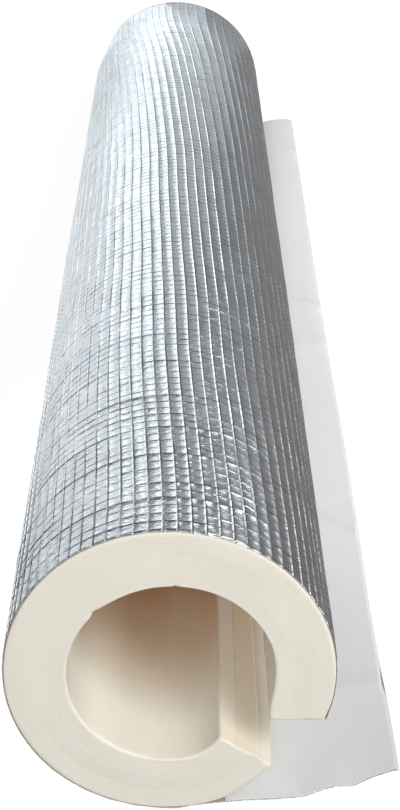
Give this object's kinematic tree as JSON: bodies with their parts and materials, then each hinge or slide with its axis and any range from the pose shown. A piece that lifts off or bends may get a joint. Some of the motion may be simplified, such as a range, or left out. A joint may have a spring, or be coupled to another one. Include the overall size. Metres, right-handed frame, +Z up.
{
  "type": "foil foam pipe insulation",
  "caption": "Slit foam tube for lagging a pipe, in a reinforced foil jacket that runs out beside the slit as a self-seal lap under a white release liner.",
  "frame": {"origin": "centre of the pipe's bore at mid-length", "axes": "+Z up along the pipe; the tube stands on one end, the slit faces +X and -Y, and the lap runs out towards +X along the -Y side"},
  "size_m": [0.1954, 0.159, 1],
  "materials": {
    "foam": "matte",
    "foil": "satin",
    "liner": "satin"
  },
  "bodies": {
    "root": {"foam_tube": "foam", "foil_jacket": "foil", "release_liner": "liner"}
  },
  "joints": []
}
